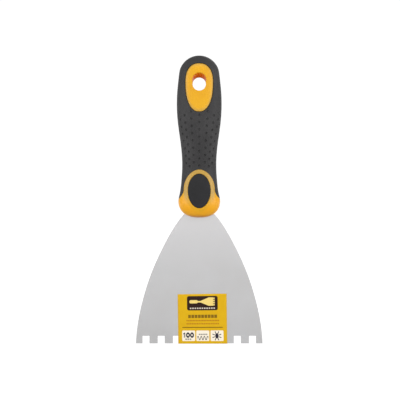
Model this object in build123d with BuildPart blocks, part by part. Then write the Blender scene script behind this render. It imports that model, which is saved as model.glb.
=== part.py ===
"""Notched trowel: a 100 mm stainless blade with eight notches and a two-material handle.
Millimetres. +Z runs up the handle, the front face looks along -Y, the origin is the hang hole's centre."""

import os
from math import cos, pi, sin

from build123d import *

# heights, measured from the hang hole's centre
edge_z = -204.5
handle_top_z = 22.7
nose_end_z = -105.1

# blade
blade_width = 100.0
blade_thickness = 0.8
notch_width = 5.4
notch_depth = 6.0
notch_pitch = 12.0
notch_count = 8
notch_corner_radius = 0.3
tang_half_width = 8.0
tang_tip_half_width = 6.0
tang_root_z = -95.5
tang_tip_z = -22.0
lock_hole_radius = 3.0
lock_hole_heights = (-54.0, -34.0)

# half widths of the blade's side, going up from the working edge: (half width, height over the edge)
blade_side = ((48.1, 18.3), (43.75, 37.3), (37.5, 56.3), (29.0, 75.2), (18.2, 94.2), (12.9, 101.0))

# handle stations between the two domes: (height, half width, half depth)
handle_stations = (
    (6.5, 16.1, 10.6),
    (-4.5, 17.25, 11.6),
    (-16.5, 17.7, 12.0),
    (-30.0, 16.9, 11.7),
    (-46.0, 14.75, 10.9),
    (-63.2, 13.45, 10.4),
    (-77.5, 14.2, 10.9),
    (-86.5, 15.45, 11.3),
    (-91.7, 16.45, 11.2),
)
top_dome_power = 2.0
nose_dome_power = 2.35
dome_levels = (0.35, 0.6, 0.8, 0.93, 0.985, 0.9995)
section_power = 2.4
section_points = 24
grip_skin = 2.0

# eye plate round the hang hole: an egg, two half superellipses that meet at its widest level
eye_half_width = 10.75
eye_wide_z = 1.6
eye_rise = 14.6
eye_drop = 23.2
eye_power = 2.3
eye_groove = 0.35
eye_rim_radius = 0.8
hole_radius = 5.25
scoop_rise = 4.4
scoop_land_half = 2.5
scoop_inner_radius = 5.0
scoop_outer_radius = 5.55

# collar round the thumb pad: a half oval over straight-through flares that run out to the handle's edge
collar_half_width = 12.15
collar_wide_z = -82.5
collar_rise = 15.1
collar_power = 1.9
flare_reach = 4.2
flare_drop = 8.0
flare_power = 2.2

# thumb pads
pad_half_width = 8.8
pad_half_height = 13.4
pad_z = -84.2
pad_gap = 0.2
pad_floor_y = 7.6
pad_face_y = 9.3
pad_dish_radius = 70.0
rim_radius = 0.5

# label
label_centre_x = 2.8
label_width = 38.7
label_height = 39.1
label_tilt = 0.8
label_film = 0.15
label_fold_sag = 0.05


def oval(turn, power):
    """One point of a unit superellipse."""
    bend = 2 / power
    return (
        abs(cos(turn)) ** bend * (1 if cos(turn) > 0 else -1),
        abs(sin(turn)) ** bend * (1 if sin(turn) > 0 else -1),
    )


def section(half_width, half_depth):
    """Points round one cross-section of the handle."""
    corners = [oval(2 * pi * k / section_points, section_power) for k in range(section_points)]
    return [(half_width * x, half_depth * y) for x, y in corners]


def dome(level, power):
    """Share of the full width left at a level between a dome's base, 0, and its tip, 1."""
    return (1 - level**power) ** (1 / power)


def stations(inset):
    """Every handle station from top to nose, drawn in by a skin's thickness."""
    top_z, top_width, top_depth = handle_stations[0]
    low_z, low_width, low_depth = handle_stations[-1]
    rows = []
    for level in reversed(dome_levels):
        share = dome(level, top_dome_power)
        height = top_z + level * (handle_top_z - inset - top_z)
        rows.append((height, share * (top_width - inset), share * (top_depth - inset)))
    for height, width, depth in handle_stations:
        rows.append((height, width - inset, depth - inset))
    for level in dome_levels:
        share = dome(level, nose_dome_power)
        height = low_z + level * (nose_end_z + inset - low_z)
        rows.append((height, share * (low_width - inset), share * (low_depth - inset)))
    return rows


def eye_points(out):
    """Points round the eye plate's egg outline, moved outwards."""
    points = []
    for k in range(24):
        x, z = oval(2 * pi * k / 24, eye_power)
        reach = eye_rise if z > 0 else eye_drop
        points.append(((eye_half_width + out) * x, eye_wide_z + (reach + out) * z))
    return points


def collar_points():
    """Points along the collar's upper edge, from the handle's right edge over to its left."""
    flare = []
    for share in (1.15, 0.8, 0.45):
        x = collar_half_width + flare_reach * share**flare_power
        flare.append((x, collar_wide_z - flare_drop * share))
    arch = []
    for k in range(13):
        x, z = oval(pi * k / 12, collar_power)
        arch.append((collar_half_width * x, collar_wide_z + collar_rise * z))
    return [*flare, *arch, *[(-x, z) for x, z in reversed(flare)]]


def on_outer_rim(edge):
    """True for the rims of the pad pockets and the hang hole on the handle's outer face."""
    box = edge.bounding_box()
    depths = (abs(box.min.Y), abs(box.max.Y))
    small = box.size.Z < 30
    return small and max(depths) > 10.2 and (edge.is_closed or min(depths) > 10.2)


def on_eye_outline(edge):
    """True for the eye's closed outline on the handle's outer face."""
    box = edge.bounding_box()
    return edge.is_closed and box.size.Z > 30 and max(abs(box.min.Y), abs(box.max.Y)) > 11


os.makedirs("parts", exist_ok=True)

# outer shape of the whole handle
with BuildPart() as envelope:
    for height, width, depth in stations(0):
        with BuildSketch(Plane.XY.offset(height)):
            with BuildLine():
                Spline(*section(width, depth), periodic=True)
            make_face()
    loft()

# the same shape drawn in by the grip's thickness
with BuildPart() as inner_body:
    for height, width, depth in stations(grip_skin):
        with BuildSketch(Plane.XY.offset(height)):
            with BuildLine():
                Spline(*section(width, depth), periodic=True)
            make_face()
    loft()

# front outlines of the eye plate, the opening the grip leaves round it, and the collar with the nose
with BuildSketch(Plane.XZ) as eye_shape:
    with BuildLine():
        Spline(*eye_points(0), periodic=True)
    make_face()

with BuildSketch(Plane.XZ) as eye_opening:
    with BuildLine():
        Spline(*eye_points(eye_groove), periodic=True)
    make_face()

with BuildSketch(Plane.XZ) as collar_shape:
    with BuildLine():
        crest = Spline(*collar_points())
        Polyline(crest @ 1, (-20, -94), (-20, -110), (20, -110), (20, -94), crest @ 0)
    make_face()

# blade: half its outline is drawn and mirrored, then the notches and lock holes are cut
with BuildPart() as blade:
    with BuildSketch(Plane.XZ):
        with BuildLine():
            foot = Line((0, edge_z), (blade_width / 2, edge_z))
            side = Spline(
                foot @ 1,
                *[(x, edge_z + height) for x, height in blade_side],
                (tang_half_width, tang_root_z),
                tangents=((-0.04, 1), (-0.15, 1)),
            )
            tang = Line(side @ 1, (tang_tip_half_width, tang_tip_z))
            Line(tang @ 1, (0, tang_tip_z))
            mirror(about=Plane.YZ)
        make_face()
        with Locations((0, edge_z)):
            with GridLocations(notch_pitch, 0, notch_count, 1):
                Rectangle(notch_width, 2 * notch_depth, mode=Mode.SUBTRACT)
        with Locations(*[(0, height) for height in lock_hole_heights]):
            Circle(lock_hole_radius, mode=Mode.SUBTRACT)
    extrude(amount=blade_thickness / 2, both=True)
    roots = blade.edges().filter_by(Axis.Y).filter_by_position(Axis.Z, edge_z + 5, edge_z + 7)
    fillet(roots, radius=notch_corner_radius)
blade.part.label = "blade"

# grip: the skin between the inner body and the outer shape, open over the eye and the collar
with BuildPart() as grip:
    add(envelope.part)
    extrude(eye_opening.sketch, amount=20, both=True, mode=Mode.SUBTRACT)
    extrude(collar_shape.sketch, amount=20, both=True, mode=Mode.SUBTRACT)
    add(inner_body.part, mode=Mode.SUBTRACT)
    fillet(grip.edges().filter_by(on_eye_outline), radius=rim_radius)
grip.part.label = "grip"

# core: the inner body, plus the eye and the collar at full size, moulded round the tang
with BuildPart() as handle_core:
    extrude(eye_shape.sketch, amount=20, both=True)
    extrude(collar_shape.sketch, amount=20, both=True)
    add(envelope.part, mode=Mode.INTERSECT)
    add(inner_body.part)
    # straight land of the hang hole
    with BuildSketch(Plane.XZ):
        Circle(hole_radius)
    extrude(amount=20, both=True, mode=Mode.SUBTRACT)
    # a scoop in each face leads up and out of the land
    for way in (-1, 1):
        with BuildSketch(Plane.XZ.offset(way * scoop_land_half)):
            Circle(scoop_inner_radius)
        with BuildSketch(Plane.XZ.offset(way * 12.0)):
            with Locations((0, scoop_rise)):
                Circle(scoop_outer_radius)
        loft(mode=Mode.SUBTRACT)
        # pocket for a thumb pad
        with BuildSketch(Plane.XZ.offset(way * pad_floor_y)):
            with Locations((0, pad_z)):
                Ellipse(pad_half_width + pad_gap, pad_half_height + pad_gap)
        extrude(amount=way * 8, mode=Mode.SUBTRACT)
    fillet(handle_core.edges().filter_by(on_outer_rim), radius=rim_radius)
    fillet(handle_core.edges().filter_by(on_eye_outline), radius=eye_rim_radius)
    add(blade.part, mode=Mode.SUBTRACT)
handle_core.part.label = "handle_core"

# thumb pads: oval inlays with a dished face
with BuildPart() as thumb_pad_front:
    with BuildSketch(Plane.XZ.offset(pad_floor_y)):
        with Locations((0, pad_z)):
            Ellipse(pad_half_width, pad_half_height)
    extrude(amount=5)
    with Locations((0, -(pad_face_y + pad_dish_radius), pad_z)):
        Sphere(pad_dish_radius, mode=Mode.SUBTRACT)
    fillet(thumb_pad_front.edges().sort_by(Axis.Y)[0], radius=rim_radius)
thumb_pad_front.part.label = "thumb_pad_front"

with BuildPart() as thumb_pad_rear:
    add(mirror(thumb_pad_front.part, about=Plane.XZ, mode=Mode.PRIVATE))
thumb_pad_rear.part.label = "thumb_pad_rear"

# label: a film folded round the working edge, stuck on slightly askew
with BuildPart() as label:
    with BuildSketch(Plane.YZ.offset(label_centre_x - label_width)):
        for skin, mode in ((label_film, Mode.ADD), (0, Mode.SUBTRACT)):
            half = blade_thickness / 2 + skin
            with BuildLine():
                fold = ThreePointArc((-half, edge_z), (0, edge_z - label_fold_sag - skin), (half, edge_z))
                Polyline(fold @ 1, (half, edge_z + 60), (-half, edge_z + 60), fold @ 0)
            make_face(mode=mode)
    extrude(amount=2 * label_width)
    # each face's outline leans its own way from the fold
    with BuildSketch(Plane.XZ) as front_outline:
        with Locations(Location((label_centre_x, edge_z, 0), (0, 0, label_tilt))):
            Rectangle(label_width, 2 * label_height)
    with BuildSketch(Plane.XZ) as rear_outline:
        with Locations(Location((label_centre_x, edge_z, 0), (0, 0, -label_tilt))):
            Rectangle(label_width, 2 * label_height)
    front_room = extrude(front_outline.sketch, amount=2, mode=Mode.PRIVATE)
    rear_room = extrude(rear_outline.sketch, amount=-2, mode=Mode.PRIVATE)
    add(front_room + rear_room, mode=Mode.INTERSECT)
label.part.label = "label"

export_step(blade.part, "parts/blade.step")
export_step(handle_core.part, "parts/handle_core.step")
export_step(grip.part, "parts/grip.step")
export_step(thumb_pad_front.part, "parts/thumb_pad_front.step")
export_step(thumb_pad_rear.part, "parts/thumb_pad_rear.step")
export_step(label.part, "parts/label.step")
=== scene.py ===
import math

import bmesh
import bpy
import numpy as np
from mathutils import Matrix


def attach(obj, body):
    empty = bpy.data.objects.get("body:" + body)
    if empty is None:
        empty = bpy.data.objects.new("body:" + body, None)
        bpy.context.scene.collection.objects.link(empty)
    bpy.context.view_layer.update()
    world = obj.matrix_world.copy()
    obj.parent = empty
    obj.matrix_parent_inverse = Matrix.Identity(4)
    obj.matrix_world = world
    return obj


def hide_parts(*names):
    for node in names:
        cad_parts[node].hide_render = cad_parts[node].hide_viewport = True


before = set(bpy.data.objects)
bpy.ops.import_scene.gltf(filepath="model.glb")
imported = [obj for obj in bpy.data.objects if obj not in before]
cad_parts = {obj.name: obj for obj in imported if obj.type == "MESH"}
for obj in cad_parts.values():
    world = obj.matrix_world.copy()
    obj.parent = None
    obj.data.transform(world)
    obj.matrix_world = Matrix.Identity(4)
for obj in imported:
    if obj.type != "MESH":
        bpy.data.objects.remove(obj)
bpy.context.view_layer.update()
print("frame loaded:", sorted(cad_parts))

mm = 0.001

# the handle's outer shape in millimetres from the hang hole's centre: height, half width, half depth
handle = {
    "stations": (
        (6.5, 16.1, 10.6), (-4.5, 17.25, 11.6), (-16.5, 17.7, 12.0), (-30.0, 16.9, 11.7), (-46.0, 14.75, 10.9),
        (-63.2, 13.45, 10.4), (-77.5, 14.2, 10.9), (-86.5, 15.45, 11.3), (-91.7, 16.45, 11.2),
    ),
    "topZ": 22.7,
    "noseZ": -105.1,
    "topPower": 2.0,
    "nosePower": 2.35,
    "domeLevels": (0.35, 0.6, 0.8, 0.93, 0.985, 0.9995, 1.0),
    "sectionPower": 2.4,
}


def smoothCurve(rows, count):
    # natural cubic spline through rows of numbers, stepped evenly by the distance between the rows
    rows = np.array(rows, float)
    gaps = np.linalg.norm(np.diff(rows, axis=0), axis=1)
    knots = np.concatenate([[0], np.cumsum(gaps)])
    size = len(rows)
    system = np.eye(size)
    right = np.zeros_like(rows)
    inner = np.arange(1, size - 1)
    system[inner, inner - 1] = gaps[:-1]
    system[inner, inner] = 2 * (gaps[:-1] + gaps[1:])
    system[inner, inner + 1] = gaps[1:]
    slopes = np.diff(rows, axis=0) / gaps[:, None]
    right[1:-1] = 6 * np.diff(slopes, axis=0)
    bends = np.linalg.solve(system, right)
    at = np.linspace(0, knots[-1], count)
    k = np.clip(np.searchsorted(knots, at) - 1, 0, size - 2)
    step = (at - knots[k])[:, None]
    gap = gaps[k][:, None]
    lean = slopes[k] - gap * (2 * bends[k] + bends[k + 1]) / 6
    return rows[k] + lean * step + bends[k] * step**2 / 2 + (bends[k + 1] - bends[k]) * step**3 / (6 * gap)


def handleProfile():
    # every station from top to nose; a dome keeps (1 - level^p)^(1/p) of the width at its base
    topZ, topWide, topDeep = handle["stations"][0]
    lowZ, lowWide, lowDeep = handle["stations"][-1]
    rows = []
    for level in reversed(handle["domeLevels"]):
        share = (1 - level ** handle["topPower"]) ** (1 / handle["topPower"])
        rows.append((topZ + level * (handle["topZ"] - topZ), share * topWide, share * topDeep))
    rows.extend(handle["stations"])
    for level in handle["domeLevels"]:
        share = (1 - level ** handle["nosePower"]) ** (1 / handle["nosePower"])
        rows.append((lowZ + level * (handle["noseZ"] - lowZ), share * lowWide, share * lowDeep))
    return smoothCurve(rows, 6000)[::-1]


profile = handleProfile()


def halfWidth(z):
    return np.interp(z, profile[:, 0], np.maximum(profile[:, 1], 0))


def halfDepth(z):
    return np.interp(z, profile[:, 0], np.maximum(profile[:, 2], 0))


def faceDepth(x, z):
    # how far the outer surface stands from the middle plane: b (1 - |x/a|^n)^(1/n)
    n = handle["sectionPower"]
    across = np.clip(np.abs(x) / np.maximum(halfWidth(z), 1e-6), 0, 1)
    return halfDepth(z) * (1 - across**n) ** (1 / n)


def oval(turn, power):
    # unit superellipse: signed cos^(2/p) and sin^(2/p)
    c, s = np.cos(turn), np.sin(turn)
    return np.sign(c) * np.abs(c) ** (2 / power), np.sign(s) * np.abs(s) ** (2 / power)


def evenAlong(points, count, closed=False):
    # the same line, stepped evenly by its own length
    points = np.vstack([points, points[:1]]) if closed else np.asarray(points)
    run = np.concatenate([[0], np.cumsum(np.linalg.norm(np.diff(points, axis=0), axis=1))])
    at = np.linspace(0, run[-1], count + 1)[:-1] if closed else np.linspace(0, run[-1], count)
    return np.stack([np.interp(at, run, points[:, k]) for k in range(points.shape[1])], axis=1)


def polarReach(outline, centre, turn):
    # distance from a centre to a closed outline, looked up by direction
    x, z = outline[:, 0] - centre[0], outline[:, 1] - centre[1]
    around = np.arctan2(z, x)
    order = np.argsort(around)
    around, reach = around[order], np.hypot(x, z)[order]
    around = np.concatenate([around - 2 * np.pi, around, around + 2 * np.pi])
    return np.interp(turn, around, np.tile(reach, 3))


def outward(points):
    # unit normals of a closed counter-clockwise outline
    along = np.roll(points, -1, axis=0) - np.roll(points, 1, axis=0)
    along /= np.linalg.norm(along, axis=1, keepdims=True)
    return np.stack([along[:, 1], -along[:, 0]], axis=1)


def quarterLip(radius, steps):
    # a rounded edge from the wall up to the face: how far out, how far down
    turn = np.linspace(0, np.pi / 2, steps)
    return radius * (1 - np.cos(turn)), radius * (1 - np.sin(turn))


def makePiece(name, patches, material, body, nodes, sharpAt=40):
    # each patch is a grid of points (rows, columns, xyz) in millimetres, closed round its columns or not
    points, faces, start = [], [], 0
    for grid, wrap in patches:
        rows, columns = grid.shape[:2]
        index = start + np.arange(rows * columns).reshape(rows, columns)
        if wrap:
            index = np.hstack([index, index[:, :1]])
        quads = np.stack([index[:-1, :-1], index[:-1, 1:], index[1:, 1:], index[1:, :-1]], axis=-1)
        points.append(grid.reshape(-1, 3))
        faces.append(quads.reshape(-1, 4))
        start += rows * columns
    mesh = bpy.data.meshes.new(name)
    mesh.from_pydata((np.concatenate(points) * mm).tolist(), [], np.concatenate(faces).tolist())
    shell = bmesh.new()
    shell.from_mesh(mesh)
    bmesh.ops.remove_doubles(shell, verts=shell.verts, dist=0.004 * mm)
    bmesh.ops.dissolve_degenerate(shell, edges=shell.edges, dist=0.002 * mm)
    bmesh.ops.recalc_face_normals(shell, faces=shell.faces)
    shell.to_mesh(mesh)
    shell.free()
    mesh.polygons.foreach_set("use_smooth", [True] * len(mesh.polygons))
    mesh.set_sharp_from_angle(angle=math.radians(sharpAt))
    piece = bpy.data.objects.new(name, mesh)
    bpy.context.scene.collection.objects.link(piece)
    mesh.materials.append(material)
    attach(piece, body)
    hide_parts(*nodes)
    print(name, "faces", len(mesh.polygons))
    return piece


def bothFaces(grid, wrap):
    # a patch of the front face and its mirror image on the rear face
    rear = grid.copy()
    rear[..., 1] *= -1
    return [(grid, wrap), (rear, wrap)]


class Wire:
    # one shader socket, so that sums on it are written as ordinary expressions
    def __init__(self, recipe, socket):
        self.recipe = recipe
        self.socket = socket

    def maths(self, operation, *values):
        return self.recipe.node("ShaderNodeMath", {"operation": operation}, dict(enumerate(values)))

    def __add__(self, other):
        return self.maths("ADD", self, other)

    def __radd__(self, other):
        return self.maths("ADD", other, self)

    def __sub__(self, other):
        return self.maths("SUBTRACT", self, other)

    def __rsub__(self, other):
        return self.maths("SUBTRACT", other, self)

    def __mul__(self, other):
        return self.maths("MULTIPLY", self, other)

    def __rmul__(self, other):
        return self.maths("MULTIPLY", other, self)

    def __truediv__(self, other):
        return self.maths("DIVIDE", self, other)

    def __pow__(self, other):
        return self.maths("POWER", self, other)

    def __abs__(self):
        return self.maths("ABSOLUTE", self)

    def most(self, other):
        return self.maths("MAXIMUM", self, other)

    def bounce(self, size):
        # rises from 0 to size and falls back to 0, over and over
        return self.maths("PINGPONG", self, size)

    def sine(self):
        return self.maths("SINE", self)

    def cosine(self):
        return self.maths("COSINE", self)


class Recipe:
    # a node tree; node() makes any node: its kind, its settings, then its sockets' values or links
    def __init__(self, owner):
        owner.use_nodes = True
        self.owner = owner
        self.tree = owner.node_tree
        self.tree.nodes.clear()

    def node(self, kind, settings=None, sockets=None, out=0):
        made = self.tree.nodes.new(kind)
        for name, value in (settings or {}).items():
            setattr(made, name, value)
        for name, value in (sockets or {}).items():
            if isinstance(value, Wire):
                self.tree.links.new(value.socket, made.inputs[name])
            else:
                made.inputs[name].default_value = value
        return Wire(self, made.outputs[out]) if len(made.outputs) else None

    def place(self):
        return self.node("ShaderNodeTexCoord", out="Object")

    def axes(self, vector):
        split = self.node("ShaderNodeSeparateXYZ", {}, {"Vector": vector})
        return [Wire(self, split.socket.node.outputs[k]) for k in range(3)]

    def stretched(self, vector, size):
        return self.node("ShaderNodeMapping", {"vector_type": "POINT"}, {"Vector": vector, "Scale": size})

    def noise(self, vector, scale, detail=3.0, rough=0.5):
        sockets = {"Vector": vector, "Scale": scale, "Detail": detail, "Roughness": rough}
        return self.node("ShaderNodeTexNoise", {}, sockets)

    def between(self, value, low, high, toLow=0.0, toHigh=1.0, kind="SMOOTHSTEP"):
        return self.node(
            "ShaderNodeMapRange", {"interpolation_type": kind},
            {"Value": value, "From Min": low, "From Max": high, "To Min": toLow, "To Max": toHigh},
        )

    def blend(self, share, first, second):
        return self.node("ShaderNodeMix", {"data_type": "RGBA"}, {0: share, 6: first, 7: second}, out=2)

    def bump(self, height, distance, strength=1.0):
        return self.node("ShaderNodeBump", {}, {"Height": height, "Distance": distance, "Strength": strength})

    def finish(self, sockets, constants=None):
        shader = self.node("ShaderNodeBsdfPrincipled", {}, {**(constants or {}), **sockets})
        self.node("ShaderNodeOutputMaterial", {}, {"Surface": shader})
        return self.owner


def newFinish(name):
    return Recipe(bpy.data.materials.new(name))


def tint(red, green, blue):
    # a colour given as it looks on a screen, 0 to 255, turned to linear light
    shares = [c / 255 for c in (red, green, blue)]
    return tuple(c / 12.92 if c < 10 / 255 else ((c + 0.055) / 1.055) ** 2.4 for c in shares) + (1.0,)


eye = {
    "halfWidth": 10.75, "wideZ": 1.6, "rise": 14.6, "drop": 23.2, "power": 2.3,
    "groove": 0.35, "bevelWide": 0.55, "bevelDeep": 0.4,
    "holeRadius": 5.25, "scoopRise": 4.4, "scoopGrow": 0.3, "landHalf": 2.5, "scoopAt": 12.0,
}
collar = {
    "halfWidth": 12.15, "wideZ": -82.5, "rise": 15.1, "power": 1.9,
    "flareReach": 4.2, "flareDrop": 8.0, "flarePower": 2.2,
}
pad = {
    "halfWidth": 8.8, "halfHeight": 13.4, "z": -84.2, "gap": 0.2,
    "floorY": 7.6, "faceY": 9.3, "dishRadius": 70.0, "lip": 0.5,
}
dimples = {
    "places": (0, 0.34, 0.61, 0.81, 0.975), "gather": 0.0042, "middleZ": -46.0,
    "pitch": 5.73, "firstZ": -24.4, "rows": 8, "radius": 0.95, "depth": 0.75, "sag": 1.0,
}

rubberLook = {
    "colour": tint(42, 41, 42), "paler": tint(50, 49, 50),
    "roughness": 0.6, "shine": 0.35, "grainSize": 1900, "grainDepth": 0.02 * mm,
}
padLook = {**rubberLook, "colour": tint(20, 20, 22), "paler": tint(27, 27, 30), "roughness": 0.4}


def seamLine(recipe, spot):
    # the fine ridge where the mould's halves met: a narrow band about the middle plane, as height
    y = recipe.axes(spot)[1]
    return recipe.between(abs(y), 0.05 * mm, 0.22 * mm, 3.0, 0.0)


def rubberFinish(name, look):
    # even dark rubber: slow cloudy change of tone, fine moulded grain as height
    recipe = newFinish(name)
    spot = recipe.place()
    cloud = recipe.noise(spot, 60, 4.0)
    grain = recipe.noise(spot, look["grainSize"], 2.0)
    colour = recipe.blend(recipe.between(cloud, 0.35, 0.65), look["colour"], look["paler"])
    roughness = recipe.between(grain, 0.3, 0.7, look["roughness"] - 0.06, look["roughness"] + 0.06)
    height = recipe.bump(grain + seamLine(recipe, spot), look["grainDepth"])
    sockets = {"Base Color": colour, "Roughness": roughness, "Normal": height}
    return recipe.finish(sockets, {"Specular IOR Level": look["shine"]})


plasticLook = {
    "colour": tint(218, 162, 14), "deeper": tint(212, 153, 10), "inside": tint(214, 112, 4),
    # in the next row, the greyer yellow after the hole's tone is a painted sheen colour and the deep orange-brown at
    # the end a painted shade colour
    "paleSheen": tint(178, 143, 66), "warmer": tint(230, 161, 4), "under": tint(180, 106, 4),
    "roughness": 0.36, "shine": 0.38, "peelSize": 420, "peelDepth": 0.012 * mm,
}


def plasticFinish(name, look):
    # glossy moulded plastic: a faint change of tone and a shallow orange-peel height
    recipe = newFinish(name)
    spot = recipe.place()
    cloud = recipe.noise(spot, 45, 3.0)
    peel = recipe.noise(spot, look["peelSize"], 2.0)
    colour = recipe.blend(recipe.between(cloud, 0.3, 0.7), look["colour"], look["deeper"])
    # inside the hang hole, below the face, the light has bounced off yellow walls and the tone is deeper
    x, y, z = recipe.axes(spot)
    up = z - 2 * mm
    nearHole = recipe.between((x * x + up * up) ** 0.5, 8.2 * mm, 8.8 * mm, 1.0, 0.0)
    belowFace = recipe.between(abs(y), 8.6 * mm, 9.8 * mm, 1.0, 0.0)
    colour = recipe.blend(nearHole * belowFace, colour, look["inside"])
    # painted sheen: the ring round the thumb pad and the eye plate's rim are blended towards a paler, greyer yellow,
    # as if catching the white surroundings' light; bands of distance from their middles, scaled by their half sizes
    padX, padZ = x / (pad["halfWidth"] * mm), (z - pad["z"] * mm) / (pad["halfHeight"] * mm)
    fromPad = (padX * padX + padZ * padZ) ** 0.5
    ring = recipe.between(fromPad, 1.3, 1.5, 1.0, 0.0) * recipe.between(z, -97 * mm, -84 * mm)
    eyeX = abs(x) / (eye["halfWidth"] * mm)
    eyeZ = ((z - eye["wideZ"] * mm) / (eye["rise"] * mm)).most((eye["wideZ"] * mm - z) / (eye["drop"] * mm))
    fromEye = (eyeX**eye["power"] + eyeZ**eye["power"]) ** (1 / eye["power"])
    rim = recipe.between(fromEye, 0.86, 0.98) * recipe.between(z, -40 * mm, -30 * mm)
    # the nose is tinted a warmer yellow, and its underside is darkened with painted shade
    nose = recipe.between(fromPad, 1.12, 1.35) * recipe.between(z, -92 * mm, -86 * mm, 1.0, 0.0)
    colour = recipe.blend(nose, colour, look["warmer"])
    # painted shade: the nose's lowest 2.6 mm is blended towards a deep orange-brown, strongest at the bottom edge
    colour = recipe.blend(recipe.between(z, -105 * mm, -102.4 * mm, 0.7, 0.0), colour, look["under"])
    # painted sheen on the pad's ring and the eye plate's rim
    colour = recipe.blend((ring * 0.9).most(rim * 0.6), colour, look["paleSheen"])
    roughness = recipe.between(cloud, 0.3, 0.7, look["roughness"] - 0.04, look["roughness"] + 0.05)
    height = recipe.bump(peel + seamLine(recipe, spot), look["peelDepth"])
    sockets = {"Base Color": colour, "Roughness": roughness, "Normal": height}
    return recipe.finish(sockets, {"Specular IOR Level": look["shine"]})


steelLook = {
    "colour": tint(204, 203, 203), "paler": tint(210, 210, 211), "neck": tint(216, 215, 216), "roughness": 0.38,
    "neckFrom": -148 * mm, "neckTo": -110 * mm,
}


def steelFinish(name, look):
    # satin sheet: grain drawn out along the blade changes roughness and height; tone drifts slowly
    recipe = newFinish(name)
    spot = recipe.place()
    grain = recipe.noise(recipe.stretched(spot, (5200, 5200, 70)), 1.0, 3.0)
    drift = recipe.noise(spot, 22, 3.0)
    colour = recipe.blend(recipe.between(drift + 0.25 * grain, 0.35, 0.9), look["colour"], look["paler"])
    # painted light: the sheet is blended paler towards the handle, palest under it
    neck = recipe.between(recipe.axes(spot)[2], look["neckFrom"], look["neckTo"], kind="LINEAR")
    colour = recipe.blend(neck, colour, look["neck"])
    roughness = recipe.between(grain, 0.3, 0.7, look["roughness"] - 0.05, look["roughness"] + 0.05)
    return recipe.finish({
        "Base Color": colour, "Roughness": roughness, "Normal": recipe.bump(grain, 0.003 * mm),
    }, {"Metallic": 1.0})


gripFinish = rubberFinish("blackGripRubber", rubberLook)
padFinish = rubberFinish("blackPadRubber", padLook)
yellowFinish = plasticFinish("yellowPlastic", plasticLook)
satinSteel = steelFinish("satinSteel", steelLook)
print("finishes made")


def eggOutline(out, count):
    # two half superellipses that meet at the widest level, grown outwards
    turn = np.linspace(0, 2 * np.pi, count, endpoint=False)
    x, z = oval(turn, eye["power"])
    reach = np.where(z > 0, eye["rise"], eye["drop"]) + out
    return np.stack([(eye["halfWidth"] + out) * x, eye["wideZ"] + reach * z], axis=1)


def collarHalfWidth(z):
    # half oval above the collar's widest level, a power curve flaring outwards below it
    up = np.clip((z - collar["wideZ"]) / collar["rise"], 0, 1)
    down = np.clip((collar["wideZ"] - z) / collar["flareDrop"], 0, None)
    arch = collar["halfWidth"] * (1 - up ** collar["power"]) ** (1 / collar["power"])
    return arch + collar["flareReach"] * down ** collar["flarePower"]


def crestLine(count):
    # the collar's edge from the handle's right side over its top to the left side
    top, foot = collar["wideZ"] + collar["rise"], -92.5
    z = top - (top - np.linspace(top, foot, 4000)) ** 2 / (top - foot)
    wide = collarHalfWidth(z)
    inside = wide <= halfWidth(z)
    tip = np.argmin(inside) if not inside.all() else len(z) - 1
    wide, z = wide[: tip + 1], z[: tip + 1]
    wide[-1] = halfWidth(z[-1])
    right = np.stack([wide, z], axis=1)[::-1]
    left = right[::-1][1:] * (-1, 1)
    return evenAlong(np.vstack([right, left]), count)


def dimpleDepth(points):
    # flat-bottomed round dents, 1 - r^5 deep, on a staggered lattice: columns at set shares of the half width,
    # drawn together towards the collar, every second one half a pitch higher, sagging towards the sides
    centres = []
    for k, share in enumerate(dimples["places"]):
        row = np.arange(dimples["rows"]) - 0.5 * (k % 2)
        z = dimples["firstZ"] - dimples["pitch"] * row - dimples["sag"] * share**2
        gather = 1 + dimples["gather"] * (z - dimples["middleZ"]) * (share < 0.9)
        x = share * gather * halfWidth(z)
        y = faceDepth(x, z)
        for side in ((1, -1), (1, 1), (-1, -1), (-1, 1)):
            centres.append(np.stack([side[0] * x, side[1] * y, z], axis=1))
    centres = np.concatenate(centres)
    depth = np.zeros(len(points))
    for centre in centres:
        near = np.linalg.norm(points - centre, axis=1) / dimples["radius"]
        depth = np.maximum(depth, dimples["depth"] * np.clip(1 - near**5, 0, 1))
    return depth


def faceNormals(points):
    # outward direction on the handle: gradient of |x/a|^n + |y/b|^n, with the heights' slopes left out
    n = handle["sectionPower"]
    a, b = np.maximum(halfWidth(points[:, 2]), 0.5), np.maximum(halfDepth(points[:, 2]), 0.5)
    gx = np.sign(points[:, 0]) * np.abs(points[:, 0] / a) ** (n - 1) / a
    gy = np.sign(points[:, 1]) * np.abs(points[:, 1] / b) ** (n - 1) / b
    size = np.maximum(np.hypot(gx, gy), 1e-9)
    return np.stack([gx / size, gy / size, np.zeros(len(points))], axis=1)


def dented(grid):
    # each point moved inwards along its normal by the dimples' depth there
    flat = grid.reshape(-1, 3)
    return (flat - faceNormals(flat) * dimpleDepth(flat)[:, None]).reshape(grid.shape)


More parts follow.
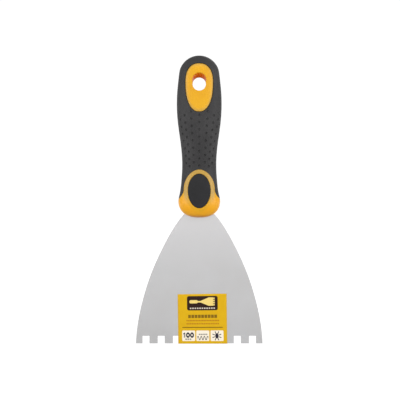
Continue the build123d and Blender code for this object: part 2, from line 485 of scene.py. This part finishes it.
def makeGrip():
    # three patches for each face: the outer skin, the rounded lip at the collar and the ring round the eye's opening
    joinZ, fineZ = -26.0, -66.0
    across, down, below, lipRadius = 170, 140, 34, 0.3
    # columns: stepped evenly round a middling section, from the right seam over the front to the left seam
    turn = np.linspace(0, np.pi, 4000)
    cosPart, sinPart = oval(turn, handle["sectionPower"])
    run = np.concatenate([[0], np.cumsum(np.hypot(np.diff(15.5 * cosPart), np.diff(11 * sinPart)))])
    turn = np.interp(np.linspace(0, run[-1], across + 1), run, turn)
    cosPart, sinPart = oval(turn, handle["sectionPower"])
    cosPart[0], cosPart[-1] = 1, -1
    sinPart = np.abs(sinPart)
    sinPart[0] = sinPart[-1] = 0
    # lower edge: where each column meets the collar's edge, grown by the lip
    crest = crestLine(3000)
    along = np.gradient(crest, axis=0)
    along /= np.linalg.norm(along, axis=1, keepdims=True)
    away = np.stack([along[:, 1], -along[:, 0]], axis=1)
    away *= np.sign(away[len(away) // 2, 1])
    grown = crest + lipRadius * away
    half = grown[: len(grown) // 2 + 1]
    share = np.maximum.accumulate((half[:, 0] / halfWidth(half[:, 1]))[::-1])
    endZ = np.interp(np.abs(cosPart), share, half[::-1][:, 1])
    z = np.concatenate([
        np.repeat(np.linspace(joinZ, fineZ, down)[:, None], across + 1, axis=1),
        fineZ + np.linspace(0, 1, below)[1:, None] * (endZ - fineZ)[None, :],
    ])
    lower = np.stack([halfWidth(z) * cosPart, -halfDepth(z) * sinPart, z], axis=-1)
    # rounded lip down into the joint with the collar
    foot = lower[-1]
    nearest = np.argmin(np.linalg.norm(foot[:, None, [0, 2]] - grown[None, ::6], axis=2), axis=1) * 6
    pull = away[nearest]
    out, drop = quarterLip(lipRadius, 5)
    lip = []
    for o, d in list(zip(out, drop))[::-1] + [(0.0, 1.2)]:
        x = foot[:, 0] - pull[:, 0] * (lipRadius - o)
        zz = foot[:, 2] - pull[:, 1] * (lipRadius - o)
        base = np.stack([x, -faceDepth(x, zz), zz], axis=1)
        lip.append(base - faceNormals(base) * d)
    lip = np.stack(lip)
    # ring from the eye's opening out to the handle's edge and the lower patch's top row
    side = evenAlong(np.stack([halfWidth(profile[:, 0]), profile[:, 0]], axis=1)[profile[:, 0] >= joinZ], 70)
    rightUp = side[:-1]
    outer = np.vstack([lower[0][:, [0, 2]], (rightUp * (-1, 1))[1:], [[0, handle["topZ"]]], rightUp[::-1][:-1]])
    outer = outer[::-1]
    centre = (0.0, -2.0)
    direction = np.arctan2(outer[:, 1] - centre[1], outer[:, 0] - centre[0])
    opening = eggOutline(eye["groove"], 2400)
    reach = polarReach(opening, centre, direction)
    inner = np.stack([centre[0] + reach * np.cos(direction), centre[1] + reach * np.sin(direction)], axis=1)
    push = outward(inner)
    push *= np.sign((push * (inner - centre)).sum())
    out, drop = quarterLip(0.5, 6)
    rows = [inner]
    drops = [2.3]
    for o, d in zip(out, drop):
        rows.append(inner + push * o)
        drops.append(d)
    shelf = inner + push * 0.5
    for step in np.linspace(0, 1, 27)[1:]:
        rows.append(shelf + (outer - shelf) * (1 - (1 - step) ** 2.1))
        drops.append(0)
    rows = np.stack(rows)
    rows[-1] = outer
    depth = faceDepth(rows[..., 0], rows[..., 1]) - np.array(drops)[:, None]
    ring = np.stack([rows[..., 0], -np.maximum(depth, 0), rows[..., 1]], axis=-1)
    patches = []
    for grid, wrap in ((lower, False), (lip, False), (ring, True)):
        patches += bothFaces(grid, wrap)
    patches = [(dented(grid), wrap) for grid, wrap in patches]
    return makePiece("gripSkin", patches, gripFinish, "root", ["grip"], sharpAt=60)


def holeReach(turn, rise):
    # outline of the straight bore joined with the raised scoop, as a smooth maximum of two circles' reaches
    radius = eye["holeRadius"] + eye["scoopGrow"] * rise / eye["scoopRise"]
    raised = rise * np.sin(turn) + np.sqrt(radius**2 - (rise * np.cos(turn)) ** 2)
    soft = 0.12
    low, high = np.minimum(raised, eye["holeRadius"]), np.maximum(raised, eye["holeRadius"])
    return high + soft * np.log1p(np.exp((low - high) / soft)) - soft * math.log(2) * np.exp(-((high - low) / soft))


def scoopRiseAt(y):
    # none over the straight land, then even growth out to the face
    return eye["scoopRise"] * np.clip((np.abs(y) - eye["landHalf"]) / (eye["scoopAt"] - eye["landHalf"]), 0, 1)


def makeEyeGrids():
    # rows of the eye's outline, shrinking in steps to the hole's rim and then going down its wall
    outline = eggOutline(0, 220)
    turn = np.arctan2(outline[:, 1], outline[:, 0])
    inward = -outward(outline)
    inward *= np.sign((inward * -outline).sum())
    # where the hole meets the face: its depth and its outline are worked out from each other, four times over
    lipRadius = 0.5
    depth = np.full(len(turn), 11.0)
    for attempt in range(4):
        reach = holeReach(turn, scoopRiseAt(depth))
        rim = np.stack([reach * np.cos(turn), reach * np.sin(turn)], axis=1)
        depth = faceDepth(rim[:, 0], rim[:, 1]) - lipRadius
    push = rim / np.linalg.norm(rim, axis=1, keepdims=True)
    # a flange under the grip closes the groove, then the wall and the rounded edge
    rows, drops = [outline - inward * 0.9, outline, outline], [2.2, 2.2, eye["bevelDeep"]]
    bevel = np.linspace(0, np.pi / 2, 7)[1:]
    for a in bevel:
        rows.append(outline + inward * eye["bevelWide"] * (1 - math.cos(a)))
        drops.append(eye["bevelDeep"] * (1 - math.sin(a)))
    shelf = rows[-1]
    edge = rim + push * lipRadius
    for step in np.linspace(0, 1, 15)[1:]:
        rows.append(shelf + (edge - shelf) * step)
        drops.append(0)
    out, drop = quarterLip(lipRadius, 6)
    for o, d in list(zip(out, drop))[::-1][1:]:
        rows.append(rim + push * o)
        drops.append(d)
    rows = np.stack(rows)
    y = -(faceDepth(rows[..., 0], rows[..., 1]) - np.array(drops)[:, None])
    front = np.stack([rows[..., 0], y, rows[..., 1]], axis=-1)
    # the wall of the hole, from the front rim to the middle
    wall = []
    startY = front[-1][:, 1]
    for share in np.linspace(0, 1, 14)[1:]:
        yy = startY * (1 - share)
        reach = holeReach(turn, scoopRiseAt(yy))
        wall.append(np.stack([reach * np.cos(turn), yy, reach * np.sin(turn)], axis=1))
    front = np.concatenate([front, np.stack(wall)])
    return bothFaces(front, True)


def makeNoseGrids():
    # rows from the thumb pad's pocket out to the nose's seam and the collar's edge, then the walls at both ends
    crest = crestLine(150)
    tip = crest[0]
    low = profile[profile[:, 0] <= tip[1]]
    side = np.stack([np.maximum(low[:, 1], 0), low[:, 0]], axis=1)
    side = evenAlong(np.vstack([side, [tip]]), 60)
    side[0] = (0, handle["noseZ"])
    side[-1] = tip
    # counter-clockwise: crest right to left, left side down to the nose, right side back up
    outer = np.vstack([crest, (side[::-1] * (-1, 1))[1:], side[1:-1]])
    centre = np.array((0.0, pad["z"]))
    turn = np.arctan2(outer[:, 1] - centre[1], outer[:, 0] - centre[0])
    wide, tall = pad["halfWidth"] + pad["gap"], pad["halfHeight"] + pad["gap"]
    reach = 1 / np.hypot(np.cos(turn) / wide, np.sin(turn) / tall)
    inner = centre + np.stack([reach * np.cos(turn), reach * np.sin(turn)], axis=1)
    push = np.stack([np.cos(turn) / wide**2 * reach, np.sin(turn) / tall**2 * reach], axis=1)
    push /= np.linalg.norm(push, axis=1, keepdims=True)
    out, drop = quarterLip(pad["lip"], 6)
    rows = [inner + push * o for o in out]
    drops = list(drop)
    shelf = rows[-1]
    for step in np.linspace(0, 1, 25)[1:]:
        rows.append(shelf + (outer - shelf) * (1 - (1 - step) ** 1.9))
        drops.append(0)
    rows = np.stack(rows)
    rows[-1] = outer
    depth = np.maximum(faceDepth(rows[..., 0], rows[..., 1]) - np.array(drops)[:, None], 0)
    depth[-1, len(crest) :] = 0
    face = np.stack([rows[..., 0], -depth, rows[..., 1]], axis=-1)
    floor = []
    for share in (0, 0.4, 0.8, 1):
        ring = centre + (inner - centre) * share
        floor.append(np.stack([ring[:, 0], np.full(len(ring), -pad["floorY"]), ring[:, 1]], axis=1))
    face = np.concatenate([np.stack(floor), face])
    # the wall that goes down beside the grip
    top = face[-1, : len(crest)]
    under = top - faceNormals(top) * 1.1
    along = np.gradient(crest, axis=0)
    away = np.stack([along[:, 1], np.zeros(len(crest)), -along[:, 0]], axis=1)
    away *= np.sign(away[len(crest) // 2, 2]) / np.linalg.norm(away, axis=1, keepdims=True)
    return bothFaces(face, True) + bothFaces(np.stack([top, under, under + 0.8 * away]), False)


def makePadGrid():
    # growing ovals on a dished face, face + r^2 / (2 R), then the rounded rim and the wall
    turn = np.linspace(0, 2 * np.pi, 96, endpoint=False)
    wide, tall = pad["halfWidth"], pad["halfHeight"]
    rows = []
    out, drop = quarterLip(pad["lip"], 6)
    for share in np.linspace(0, 1, 14):
        x, z = (wide - pad["lip"]) * share * np.cos(turn), (tall - pad["lip"]) * share * np.sin(turn)
        rows.append((x, z, 0.0))
    for o, d in list(zip(out, drop))[::-1][1:]:
        x, z = (wide - o) * np.cos(turn), (tall - o) * np.sin(turn)
        rows.append((x, z, d))
    rows.append((wide * np.cos(turn), tall * np.sin(turn), 9.0))
    grid = []
    for x, z, d in rows:
        y = pad["faceY"] + (x**2 + z**2) / (2 * pad["dishRadius"]) - d
        grid.append(np.stack([x, -np.maximum(y, pad["floorY"]), z + pad["z"]], axis=1))
    return np.stack(grid)


makeGrip()
moulding = makeEyeGrids() + makeNoseGrids()
makePiece("handleMoulding", moulding, yellowFinish, "root", ["handle_core"], sharpAt=60)
padGrid = makePadGrid()
makePiece("thumbPadFront", [(padGrid, True)], padFinish, "root", ["thumb_pad_front"])
makePiece("thumbPadRear", [(padGrid * (1, -1, 1), True)], padFinish, "root", ["thumb_pad_rear"])

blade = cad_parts["blade"]
for holder in blade.material_slots:
    holder.material = satinSteel


label = {
    "centreX": 2.8, "width": 38.7, "height": 39.1, "tilt": 0.8, "film": 0.15,
    "edgeZ": -204.5, "sheetHalf": 0.4, "sag": 0.05, "printRight": 0.85, "printUp": 0.6,
    "yellow": tint(217, 172, 2), "deepYellow": tint(213, 166, 1), "brown": tint(40, 16, 4), "rust": tint(166, 92, 12),
    "cream": tint(236, 208, 120), "white": tint(244, 234, 214), "ink": tint(38, 34, 50),
}


class Print:
    # ink on paper: every mark is the inside of a signed distance, blended over what is already there
    def __init__(self, recipe, x, z, paper):
        self.recipe, self.x, self.z, self.colour = recipe, x, z, paper

    def ink(self, distance, tone, soft=0.07):
        self.colour = self.recipe.blend(self.recipe.between(distance, -soft, soft, 1.0, 0.0), self.colour, tone)

    def box(self, midX, midZ, halfX, halfZ, corner=0.0, turn=0.0):
        # rounded rectangle: length of the overshoot past a smaller rectangle, less the corner's radius
        c, s = math.cos(math.radians(turn)), math.sin(math.radians(turn))
        x, z = self.x - midX, self.z - midZ
        if turn:
            x, z = x * c + z * s, z * c - x * s
        dx, dz = (abs(x) - (halfX - corner)).most(0.0), (abs(z) - (halfZ - corner)).most(0.0)
        return (dx * dx + dz * dz) ** 0.5 - max(corner, 0.02)

    def disc(self, midX, midZ, halfX, halfZ):
        # ellipse: scaled distance from its middle, less one, given back its size
        x, z = (self.x - midX) / halfX, (self.z - midZ) / halfZ
        return ((x * x + z * z) ** 0.5 - 1) * min(halfX, halfZ)

    def dashes(self, midX, midZ, halfX, halfZ, count, share=0.75):
        # a row of short blocks that stands for a line of small print
        pitch = 2 * halfX / count
        comb = (self.x - (midX - halfX + pitch / 2)).bounce(pitch / 2)
        return self.box(midX, midZ, halfX, halfZ).most(comb - pitch * share / 2)


def labelFinish(name, look):
    recipe = newFinish(name)
    across, up = recipe.axes(recipe.node("ShaderNodeUVMap", {"uv_map": "print"}))[:2]
    drift = recipe.noise(recipe.place(), 120, 2.0)
    paper = recipe.blend(recipe.between(drift, 0.3, 0.7), look["yellow"], look["deepYellow"])
    # millimetres from the label's middle and above the fold; the rear face lies below zero and stays plain
    sheet = Print(recipe, across * 100 - (50 + look["printRight"]), up * 100 - (50 + look["printUp"]), paper)
    # plaque with a plain picture of a notched trowel lying on its side
    sheet.ink(sheet.box(-0.75, 31.2, 12.1, 5.65, 1.5), look["brown"])
    sheet.ink(sheet.box(-7.6, 32.4, 3.4, 1.3, 1.2), look["cream"])
    sheet.ink(sheet.box(-3.4, 32.4, 1.4, 0.6, 0.2), look["cream"])
    spread = sheet.box(3.4, 32.4, 5.6, 3.3, 0.3).most(abs(sheet.z - 32.4) - 0.42 * (sheet.x + 3.6).most(0.0))
    teeth = sheet.box(8.6, 32.4, 0.9, 4.0).most((sheet.z - 32.4).bounce(0.85) - 0.42)
    sheet.ink(spread.most(-1 * teeth), look["cream"])
    sheet.ink(sheet.dashes(-0.75, 27.2, 10.2, 0.5, 11, 0.6), look["white"])
    # lines of small print
    sheet.ink(sheet.dashes(-0.7, 20.8, 11.6, 1.25, 9, 0.82), look["brown"])
    sheet.ink(sheet.dashes(-0.65, 17.5, 13.0, 0.5, 21, 0.75), look["rust"])
    sheet.ink(sheet.dashes(-0.65, 15.0, 13.0, 0.5, 19, 0.75), look["rust"])
    sheet.ink(sheet.box(-0.85, 12.1, 15.9, 0.32), look["brown"])
    for midX in (-11.9, -0.75, 10.5):
        sheet.ink(sheet.box(midX, 5.5, 5.1, 4.15, 0.8), look["white"])
    # the width in millimetres
    sheet.ink(sheet.box(-15.1, 6.05, 0.55, 1.95), look["ink"])
    sheet.ink(sheet.box(-15.6, 7.3, 0.8, 0.36, 0.1, 35), look["ink"])
    for midX in (-12.45, -9.25):
        sheet.ink(abs(sheet.disc(midX, 6.05, 1.05, 1.5)) - 0.5, look["ink"])
    sheet.ink(sheet.dashes(-12.2, 2.8, 2.5, 0.55, 3, 0.75), look["ink"])
    # the notches' outline under a line of small print
    sheet.ink(sheet.dashes(-0.5, 6.6, 3.5, 0.5, 5, 0.75), look["ink"])
    # wave: height off a sine, divided by the length of its slope so that the stroke keeps one width
    waveHigh, waveLong = 1.25, 2.5
    turn = (sheet.x + 5.1) * (2 * math.pi / waveLong)
    slope = turn.cosine() * (waveHigh * 2 * math.pi / waveLong)
    off = abs(sheet.z - 3.7 - turn.sine() * waveHigh) / (slope * slope + 1) ** 0.5
    sheet.ink((off - 0.27).most(abs(sheet.x + 0.75) - 4.35), look["ink"])
    # a burst: an oval with eight rays
    midX, midZ, reach = 10.4, 5.4, 2.75
    sheet.ink(sheet.disc(midX, midZ, 1.35, 2.0), look["ink"])
    for degrees in np.arange(22.5, 360, 45).tolist():
        x = midX + reach * math.cos(math.radians(degrees))
        z = midZ + reach * math.sin(math.radians(degrees))
        sheet.ink(sheet.box(x, z, 1.0, 0.33, 0.1, degrees), look["ink"])
    ripple = recipe.noise(recipe.place(), 60, 2.0)
    return recipe.finish({
        "Base Color": sheet.colour, "Roughness": recipe.between(drift, 0.3, 0.7, 0.36, 0.46),
        "Normal": recipe.bump(ripple, 0.12 * mm),
    }, {"Specular IOR Level": 0.22})


def makeLabel():
    # a film carried down the front face, round the working edge and up the rear; each face leans its own way
    middle = label["sheetHalf"] + label["film"] / 2
    climb = np.linspace(label["height"], 0, 30)
    turn = np.linspace(0, np.pi, 13)[1:-1]
    y = np.concatenate([np.full(30, -middle), -middle * np.cos(turn), np.full(30, middle)])
    up = np.concatenate([climb, -(label["sag"] + label["film"] / 2) * np.sin(turn), climb[::-1]])
    across = np.linspace(-0.5, 0.5, 30) * label["width"]
    lean = math.tan(math.radians(label["tilt"])) * np.where(y > 0, -1, 1)[:, None]
    yGrid = np.repeat(y[:, None], 30, axis=1)
    xGrid = label["centreX"] + across[None, :] - lean * up[:, None] * (up[:, None] > 0)
    zGrid = label["edgeZ"] + up[:, None] + lean * across[None, :] * np.clip(up[:, None] / label["height"], 0, 1)
    grid = np.stack([xGrid, yGrid, zGrid], axis=-1)
    finish = labelFinish("labelPrint", label)
    return makePiece("labelFilm", [(grid, False)], finish, "root", ["label"])


def labelUv(piece):
    # millimetres across the label and along the film, with the lean taken off, so that the print follows the paper
    mesh = piece.data
    layer = mesh.uv_layers.new(name="print")
    place = np.zeros(len(mesh.vertices) * 3, np.float32)
    mesh.vertices.foreach_get("co", place)
    place = place.reshape(-1, 3) / mm
    side = np.where(place[:, 1] < 0, 1, -1)
    lean = math.tan(math.radians(label["tilt"])) * side
    up = place[:, 2] - label["edgeZ"]
    x = place[:, 0] - label["centreX"] + lean * np.maximum(up, 0)
    up = np.where(up > 0, up - lean * x * np.clip(up / label["height"], 0, 1), up)
    uv = np.stack([(x + 50) / 100, (side * up + 50) / 100], axis=1)
    corner = np.zeros(len(mesh.loops), np.int32)
    mesh.loops.foreach_get("vertex_index", corner)
    layer.data.foreach_set("uv", uv[corner].astype(np.float32).ravel())
    film = piece.modifiers.new("film", "SOLIDIFY")
    film.thickness = label["film"] * mm
    film.offset = 0


labelUv(makeLabel())
print("pieces made")


studio = {
    "white": 1.05, "front": 0.84, "back": 0.72, "above": 1.0, "below": 0.4,
    "floorDrop": 60.0, "cameraAway": 3.0, "viewWide": 315.6, "aimX": 0.6, "aimZ": -91.3,
}


def makeSheet(name, reach, z, material):
    # a level square, four corners at the given reach from the middle
    corners = [(-reach, -reach, z), (reach, -reach, z), (reach, reach, z), (-reach, reach, z)]
    mesh = bpy.data.meshes.new(name)
    mesh.from_pydata(corners, [], [(0, 1, 2, 3)])
    mesh.materials.append(material)
    sheet = bpy.data.objects.new(name, mesh)
    bpy.context.scene.collection.objects.link(sheet)
    return sheet


def makeFloor():
    z = (label["edgeZ"] - studio["floorDrop"]) * mm
    makeSheet("floor", 40.0, z, newFinish("paleFloor").finish({}, {
        "Base Color": (0.85, 0.85, 0.85, 1), "Roughness": 0.9,
        "Emission Color": (1, 1, 1, 1), "Emission Strength": 0.5,
    }))
    # a grey card under the blade, seen only by the object, keeps the floor's glare off its underside
    grey = newFinish("cardGrey").finish({}, {"Base Color": (0.58, 0.58, 0.58, 1), "Roughness": 0.9})
    card = makeSheet("greyCard", 0.45, z + 0.02, grey)
    card.visible_camera = False
    card.visible_shadow = False


def makeWorld():
    # white where the camera looks; for light, brighter from the front and above than from behind and below
    world = bpy.data.worlds.new("studio")
    bpy.context.scene.world = world
    recipe = Recipe(world)
    y, z = recipe.axes(recipe.node("ShaderNodeTexCoord", out="Generated"))[1:]
    facing = recipe.between(y, 0.6, -0.6, studio["back"], studio["front"])
    light = facing * recipe.between(z, -0.5, 0.6, studio["below"], studio["above"])
    seen = recipe.node("ShaderNodeLightPath", out="Is Camera Ray")
    strength = light + seen * (studio["white"] - light)
    glow = recipe.node("ShaderNodeBackground", {}, {"Color": (1, 1, 1, 1), "Strength": strength})
    recipe.node("ShaderNodeOutputWorld", {}, {"Surface": glow})


def makeCamera():
    # straight on from the front: focal length = sensor width x distance / width in view
    view = bpy.data.cameras.new("view")
    view.sensor_width = 36
    view.lens = 36 * studio["cameraAway"] / (studio["viewWide"] * mm)
    camera = bpy.data.objects.new("view", view)
    camera.location = (studio["aimX"] * mm, -studio["cameraAway"], studio["aimZ"] * mm)
    camera.rotation_euler = (math.radians(90), 0, 0)
    bpy.context.scene.collection.objects.link(camera)
    bpy.context.scene.camera = camera


def makeLight(name, place, size, power):
    # a square soft light, turned to look at the origin
    lamp = bpy.data.lights.new(name, "AREA")
    lamp.shape = "SQUARE"
    lamp.size = size
    lamp.energy = power
    holder = bpy.data.objects.new(name, lamp)
    holder.location = place
    holder.visible_camera = False
    aim = -holder.location.normalized()
    holder.rotation_euler = aim.to_track_quat("-Z", "Y").to_euler()
    bpy.context.scene.collection.objects.link(holder)


makeFloor()
makeWorld()
makeCamera()
makeLight("leftSoftbox", (-0.9, -0.6, 0.05), 0.8, 4.4)
makeLight("rightSoftbox", (0.9, -0.6, 0.05), 0.8, 5.0)
makeLight("topSoftbox", (0.0, -0.6, 0.9), 0.7, 1.5)
makeLight("rearSoftbox", (0.25, 0.95, 0.35), 0.7, 2.5)
bpy.context.scene.view_settings.view_transform = "Standard"
print("studio made")
